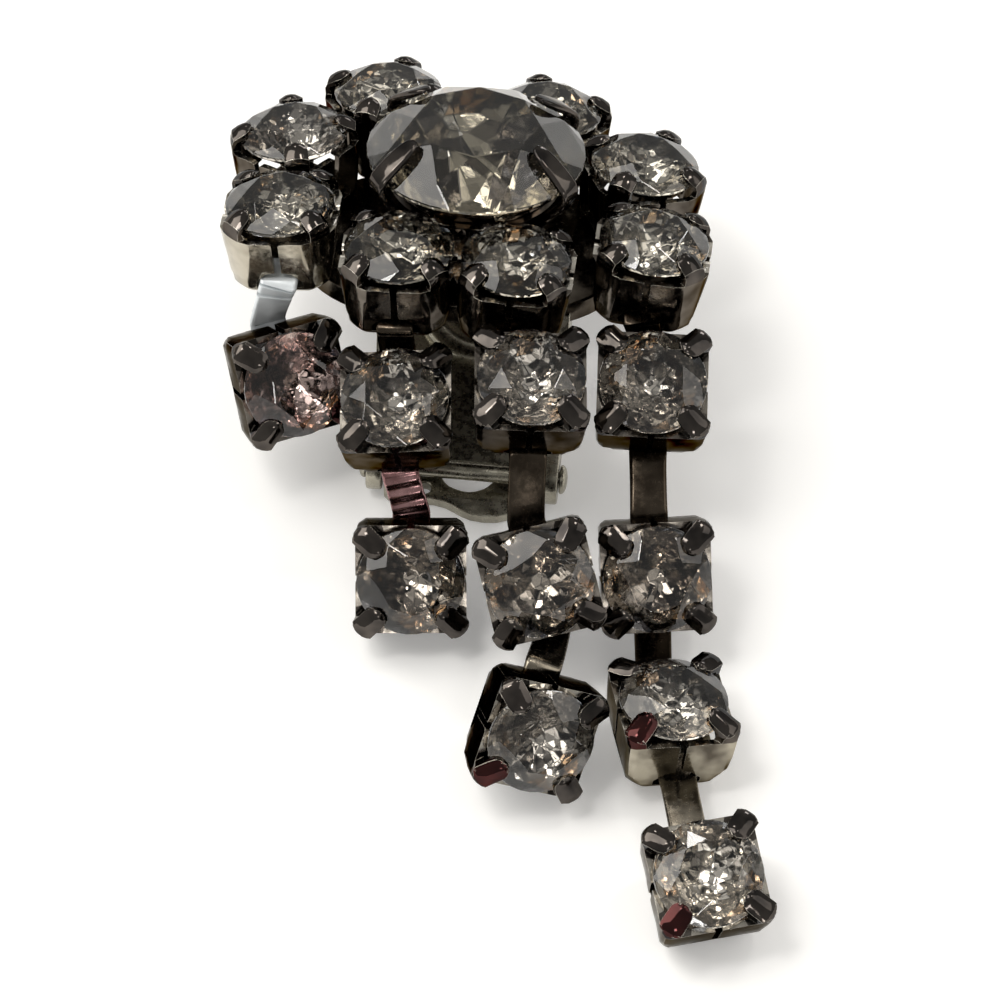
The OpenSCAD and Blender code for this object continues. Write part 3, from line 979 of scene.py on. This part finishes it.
def clip_ears():
    """The two ears that carry the hinge pin, each round the pin as the leaning cluster sees it."""
    lean = math.radians(LEAN)
    y, z = PIN_Y - CLUSTER_AT[1], PIN_Z - CLUSTER_AT[2]
    pin_v = y * math.cos(lean) - z * math.sin(lean)
    pin_w = y * math.sin(lean) + z * math.cos(lean)
    outline = [(-2.0, -3.6), (-4.6, -3.6), (-4.6, -7.0), (-4.9, -8.0)]
    outline += arc(pin_v, pin_w, 1.15, 131, 333, 22) + [(-3.0, -7.6)]
    half = (EAR_OUT - EAR_IN) / 2
    for side, sign in (("left", -1), ("right", 1)):
        mesh = slab(f"ear_{side}", [outline[::-1]], -half, half, 0.09)
        place = CLUSTER @ move(-CLUSTER_AT[0], 0, 0) @ rot("Z", 90) @ rot("X", 90)
        place = place @ move(0, 0, sign * (EAR_IN + EAR_OUT) / 2)
        new_piece(f"clip_ear_{side}", mesh, place, [MAT["clip"]], "cluster_frame")


# Clip
def hinge_pin():
    """The pin with its two low heads."""
    shaft = [(0.0, -4.38), (PIN_R, -4.38), (PIN_R, 4.38), (0.0, 4.38)]
    head = [
        (0.0, 4.36), (0.6, 4.36), (0.66, 4.4), (0.66, 4.46), (0.62, 4.54),
        (0.53, 4.61), (0.4, 4.66), (0.2, 4.695), (0.0, 4.7),
    ]
    mesh = joined("clip_pin", [
        (lathe("pin_shaft", shaft, 40), Matrix()),
        (lathe("pin_head", head, 40), Matrix()),
        (lathe("pin_head_b", head, 40), rot("X", 180)),
    ])
    place = CLIP @ move(0, PIN_Y, PIN_Z) @ rot("Y", 90)
    new_piece("clip_pin", mesh, place, [MAT["clip"]], "hinge_pin")


def lever_plate():
    """The lever's flat plate, with its wavy front edge, its slot and its small round hole."""
    half = LEVER_W / 2
    outline = [
        (-3.3, -7.1), (-1.2, -7.15), (-0.7, -7.26), (-0.3, -7.45), (0.1, -7.66), (0.5, -7.8), (1.1, -7.86),
        (1.7, -7.8), (2.1, -7.64), (2.5, -7.4), (2.9, -7.2), (3.3, -7.1), (3.5, -6.9), (3.5, -4.2),
        (half, -3.4), (half, 0.5), (3.62, 2.4),
    ]
    outline += arc(0, GRIP_Y, 3.5, 2, 178, 28)
    outline += [(-3.62, 2.4), (-half, 0.5), (-half, -3.4), (-3.5, -4.2), (-3.5, -6.9)]
    slot = [
        (-1.0, -5.0), (1.4, -5.0), (1.4, -5.6), (1.3, -6.0), (1.1, -6.25), (0.9, -6.4), (0.6, -6.54),
        (0.3, -6.6), (0.0, -6.58), (-0.3, -6.5), (-0.6, -6.38), (-0.8, -6.2), (-0.94, -6.0), (-1.0, -5.8),
    ]
    hole = arc(-1.7, -6.6, 0.3, 360, 15, 23)
    return slab("lever_plate", [outline, slot, hole], 0.0, LEVER_T, 0.07)


def clip_lever():
    """The lever: its plate, its round grip end with rings, and its two flanges round the pin."""
    profile = [
        (0.0, 0.5), (3.05, 0.5), (3.08, 0.62), (2.98, 1.0), (2.9, 1.1), (2.75, 1.14), (2.3, 1.15),
        (2.2, 1.08), (1.95, 1.08), (1.85, 1.15), (1.4, 1.15), (1.3, 1.08), (1.05, 1.08), (0.95, 1.15),
        (0.0, 1.15),
    ]
    outline = [(PIN_Y - 1.0, 0.2), (-3.95, 0.2), (-3.9, 0.55)] + arc(PIN_Y, PIN_Z, 1.0, 53, 180, 16)
    plate = lever_plate()
    grip = lathe("lever_grip", profile, 72)
    flange = slab("lever_flange", [outline], -0.3, 0.3, 0.07)
    mesh = joined("lever", [
        (plate, Matrix()),
        (grip, move(0, GRIP_Y, 0)),
        (flange, move(FLANGE_X, 0, 0) @ rot("Z", 90) @ rot("X", 90)),
        (flange, move(-FLANGE_X, 0, 0) @ rot("Z", 90) @ rot("X", 90)),
    ])
    new_piece("lever", mesh, CLIP, [MAT["clip"]], "clip_lever", "lever")


# Links
def bezier(a, b, c, d, t):
    return a * (1 - t) ** 3 + b * 3 * t * (1 - t) ** 2 + c * 3 * t * t * (1 - t) + d * t ** 3


def axes_of(place):
    """Unit vectors across a cup, towards its lower window, and up through its stone."""
    turn = place.to_3x3()
    return turn @ Vector((1, 0, 0)), turn @ Vector((0, -1, 0)), turn @ Vector((0, 0, 1))


def in_windows(place, y):
    """Point in millimetres on the line through a cup's two windows, y from the cup's axis."""
    return (place @ Vector((0, y * MM, LINK_Z * MM))) / MM


def strand_link(key, above, below):
    """A bent tab from the lower window of one cup to the upper window of the next, with a head in each."""
    upper = ring_frame(above) if isinstance(above, int) else cup_frame(above)
    lower = cup_frame(below)
    across_a, down_a, up_a = axes_of(upper)
    across_b, down_b, up_b = axes_of(lower)
    # Distance from the cup's axis, and width there
    head = [(0.77, 2.3), (0.82, HEAD_W), (1.1, HEAD_W), (1.14, 2.3), (1.16, LINK_W), (1.9, LINK_W)]
    start, end = in_windows(upper, -LINK_BEND), in_windows(lower, LINK_BEND)
    reach = min(0.25, (end - start).length * 0.12)
    curve = (start, start + down_a * reach, end - down_b * reach, end)
    ridged = key == RIDGED_LINK
    count = 40 if ridged else 16
    stations = [(in_windows(upper, -y), across_a, up_a, width, LINK_T) for y, width in head]
    for i in range(count + 1):
        t = i / count
        along = (bezier(*curve, min(1, t + 0.01)) - bezier(*curve, max(0, t - 0.01))).normalized()
        ease = t * t * (3 - 2 * t)
        across = across_a * (1 - ease) + across_b * ease
        across = (across - along * across.dot(along)).normalized()
        up = across.cross(along)
        if up.dot(up_a * (1 - ease) + up_b * ease) < 0:
            up = -up
        fade = math.sin(math.pi * t)
        ridge = RIDGE_H * math.cos(LINK_RIDGES * 2 * math.pi * (t - 0.5)) * fade if ridged else 0.0
        middle = bezier(*curve, t) + up * ridge
        stations.append((middle, across, up, LINK_W - 0.05 * fade, LINK_T + ridge))
    stations += [(in_windows(lower, y), across_b, up_b, width, LINK_T) for y, width in head[::-1]]
    name = f"strand_link_{key}"
    mesh = sweep(name, stations, 3)
    metals = [MAT[LINK_METALS.get(key, "link_dark")]]
    new_piece(name, mesh, Matrix(), metals, f"link_{key}")


# Floor, light and camera
def floor():
    """A pale matt floor, just under the surface on which the earring lies."""
    half, z = 1.2, -0.00002
    mesh = bpy.data.meshes.new("floor")
    corners = [(-half, -half, z), (half, -half, z), (half, half, z), (-half, half, z)]
    mesh.from_pydata(corners, [], [(0, 1, 2, 3)])
    material, tree, shader = new_material("floor_paper")
    patch = noise(tree, object_coords(tree), 60, 3.0)
    fill(tree, shader, {
        "Base Color": ramp(tree, patch, [(0.3, (0.90, 0.895, 0.885)), (0.7, (0.93, 0.925, 0.915))]),
        "Roughness": 0.9,
        "Emission Color": (1, 0.99, 0.975, 1),
        "Emission Strength": 0.2,
    })
    mesh.materials.append(material)
    piece = bpy.data.objects.new("floor", mesh)
    bpy.context.scene.collection.objects.link(piece)


def aim(thing, place, target):
    """Puts a light or the camera in its place, in metres, and turns it towards the target."""
    thing.location = place
    thing.rotation_euler = (Vector(target) - Vector(place)).to_track_quat("-Z", "Y").to_euler()


def softbox(name, place, size, power, colour):
    light = bpy.data.lights.new(name, "AREA")
    light.shape = "RECTANGLE"
    light.size, light.size_y = size
    light.energy = power
    light.color = colour
    holder = bpy.data.objects.new(name, light)
    bpy.context.scene.collection.objects.link(holder)
    aim(holder, place, (0.001, -0.008, 0.004))


# Name, place and size in metres, watts, colour
SOFTBOXES = [
    ("key", (-0.30, 0.06, 0.42), (0.40, 0.40), 1.75, (1, 0.98, 0.94)),
    ("fill", (0.36, 0.02, 0.26), (0.30, 0.30), 0.35, (1, 0.97, 0.93)),
    ("back", (0.17, 0.34, 0.13), (0.10, 0.06), 0.14, (0.97, 0.98, 1)),
    ("spark_left", (-0.09, -0.04, 0.32), (0.05, 0.065), 0.14, (1, 0.98, 0.95)),
    ("spark_right", (0.13, 0.06, 0.30), (0.04, 0.05), 0.09, (1, 0.97, 0.93)),
    ("spark_front", (0.03, -0.30, 0.16), (0.06, 0.045), 0.10, (1, 0.98, 0.96)),
    ("spark_back", (-0.05, 0.26, 0.30), (0.04, 0.04), 0.08, (1, 0.98, 0.95)),
]


def studio_world():
    """Even pale light from all round, and colours shown as they are."""
    world = bpy.data.worlds.new("studio")
    bpy.context.scene.world = world
    world.use_nodes = True
    background = world.node_tree.nodes["Background"]
    background.inputs["Color"].default_value = (0.96, 0.95, 0.92, 1)
    background.inputs["Strength"].default_value = 0.42
    view = bpy.context.scene.view_settings
    view.view_transform = "Standard"
    view.exposure = 0.0


def camera():
    """The camera at the photograph's angle: 56 degrees down on the earring, 290 mm away."""
    elevation = math.radians(56)
    distance = 0.290
    target = Vector((1.02, -8.68, 3.0)) * MM
    # At the target a metre is 15 times as wide as the photograph, which the render shows half as large again
    widths_per_metre = 15
    enlargement = 1.5
    data = bpy.data.cameras.new("camera")
    data.sensor_width = 36.0
    data.lens = data.sensor_width * widths_per_metre * enlargement * distance
    data.clip_start = 0.005
    data.clip_end = 10
    holder = bpy.data.objects.new("camera", data)
    bpy.context.scene.collection.objects.link(holder)
    bpy.context.scene.camera = holder
    aim(holder, target + Vector((0, -math.cos(elevation), math.sin(elevation))) * distance, target)


# The whole scene. The order stays, because the cups and stones share one row of random numbers.
for i in range(8):
    ring_cup(i)
for key in CUP_AT:
    strand_cup(key)
centre_stone()
for i in range(8):
    ring_stone(i)
for key in CUP_AT:
    strand_stone(key)
centre_seat()
for i, angle in enumerate(CLAW_ANGLES):
    centre_claw(f"centre_claw_{i + 1}", angle)
back_plate()
clip_ears()
hinge_pin()
clip_lever()
for key, above, below in LINKS:
    strand_link(key, above, below)
floor()
for row in SOFTBOXES:
    softbox(*row)
studio_world()
camera()
